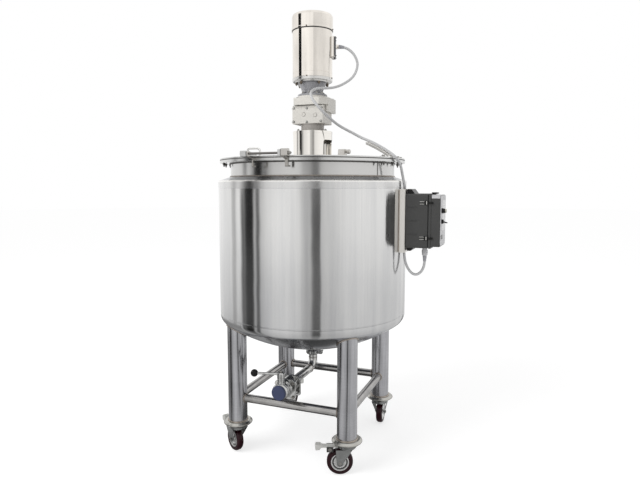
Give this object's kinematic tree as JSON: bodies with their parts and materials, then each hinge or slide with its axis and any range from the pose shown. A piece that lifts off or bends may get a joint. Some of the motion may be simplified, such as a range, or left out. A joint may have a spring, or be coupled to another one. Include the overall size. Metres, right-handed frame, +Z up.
{
  "type": "jacketed mixing tank",
  "caption": "Jacketed stainless mixing tank on casters, with a split lid, a gear motor above a shaft lantern, a bottom outlet valve and a control box.",
  "frame": {"origin": "on the tank's axis, at floor level", "axes": "+Z up, -Y towards the tank's front with the lid hinge and the outlet valve, +X towards the control box"},
  "size_m": [1.1046, 0.9508, 2.066],
  "materials": {
    "satin_steel": "satin",
    "polished_steel": "polished",
    "gear_paint": "satin",
    "cast_grey": "painted",
    "charcoal_plastic": "matte",
    "light_plastic": "satin",
    "black_plastic": "gloss",
    "cap_blue": "satin",
    "cable_grey": "satin",
    "tyre": "satin",
    "zinc": "zinc plated"
  },
  "bodies": {
    "tank": {"cable": "cable_grey", "cable_tray": "satin_steel", "control_bracket": "satin_steel", "drive_cover": "charcoal_plastic", "drive_housing": "charcoal_plastic", "fan_cowl": "polished_steel", "fascia": "light_plastic", "gear_cover": "gear_paint", "gear_housing": "gear_paint", "gearbox_neck": "cast_grey", "hinge_bracket": "satin_steel", "jacket": "satin_steel", "lantern": "polished_steel", "leg_fl": "satin_steel", "leg_fr": "satin_steel", "leg_rl": "satin_steel", "leg_rr": "satin_steel", "lid_clamp": "satin_steel", "lid_rear": "satin_steel", "motor_adapter": "cast_grey", "motor_body": "polished_steel", "outlet_clamp": "satin_steel", "outlet_pipe": "satin_steel", "rail_front": "satin_steel", "rail_left": "satin_steel", "rail_rear": "satin_steel", "rail_right": "satin_steel", "rim_flange": "satin_steel", "terminal_box": "satin_steel", "valve_body": "satin_steel", "valve_cap": "cap_blue", "vessel": "satin_steel"},
    "lid_front": {"lid_front": "satin_steel"},
    "valve_lever": {"valve_lever": "satin_steel"},
    "agitator": {"agitator": "satin_steel"},
    "speed_knob": {"speed_knob": "black_plastic"},
    "selector_switch": {"selector_switch": "black_plastic"},
    "fork_fl": {"fork_fl": "zinc"},
    "wheel_fl": {"wheel_fl": "tyre"},
    "fork_fr": {"fork_fr": "zinc"},
    "wheel_fr": {"wheel_fr": "tyre"},
    "fork_rr": {"fork_rr": "zinc"},
    "wheel_rr": {"wheel_rr": "tyre"},
    "fork_rl": {"fork_rl": "zinc"},
    "wheel_rl": {"wheel_rl": "tyre"}
  },
  "joints": [
    {"name": "lid_hinge", "type": "hinge", "parent": "tank", "child": "lid_front", "pos_m": [0, -0.475, 1.4], "axis": [1, 0, 0], "range_deg": [0, 105]},
    {"name": "valve_turn", "type": "hinge", "parent": "tank", "child": "valve_lever", "pos_m": [0, -0.37, 0.445], "axis": [0, 0, 1], "range_deg": [0, 90]},
    {"name": "agitator_spin", "type": "hinge", "parent": "tank", "child": "agitator", "pos_m": [0, 0, 1], "axis": [0, 0, 1], "continuous": true},
    {"name": "speed_turn", "type": "hinge", "parent": "tank", "child": "speed_knob", "pos_m": [0.63, -0.045, 1.16], "axis": [1, 0, 0], "range_deg": [-140, 140]},
    {"name": "switch_tilt", "type": "hinge", "parent": "tank", "child": "selector_switch", "pos_m": [0.63, -0.045, 1.113], "axis": [1, 0, 0], "range_deg": [-45, 45]},
    {"name": "swivel_fl", "type": "hinge", "parent": "tank", "child": "fork_fl", "pos_m": [-0.2732, -0.2732, 0.12], "axis": [0, 0, 1], "continuous": true},
    {"name": "roll_fl", "type": "hinge", "parent": "fork_fl", "child": "wheel_fl", "pos_m": [-0.29935, -0.25654, 0.058], "axis": [-0.5373, -0.8434, 0], "continuous": true},
    {"name": "swivel_fr", "type": "hinge", "parent": "tank", "child": "fork_fr", "pos_m": [0.2732, -0.2732, 0.12], "axis": [0, 0, 1], "continuous": true},
    {"name": "roll_fr", "type": "hinge", "parent": "fork_fr", "child": "wheel_fr", "pos_m": [0.24436, -0.28456, 0.058], "axis": [0.3665, -0.9304, 0], "continuous": true},
    {"name": "swivel_rr", "type": "hinge", "parent": "tank", "child": "fork_rr", "pos_m": [0.2732, 0.2732, 0.12], "axis": [0, 0, 1], "continuous": true},
    {"name": "roll_rr", "type": "hinge", "parent": "fork_rr", "child": "wheel_rr", "pos_m": [0.2705, 0.30408, 0.058], "axis": [-0.9962, -0.0872, 0], "continuous": true},
    {"name": "swivel_rl", "type": "hinge", "parent": "tank", "child": "fork_rl", "pos_m": [-0.2732, 0.2732, 0.12], "axis": [0, 0, 1], "continuous": true},
    {"name": "roll_rl", "type": "hinge", "parent": "fork_rl", "child": "wheel_rl", "pos_m": [-0.26518, 0.30314, 0.058], "axis": [-0.9659, 0.2588, 0], "continuous": true}
  ]
}
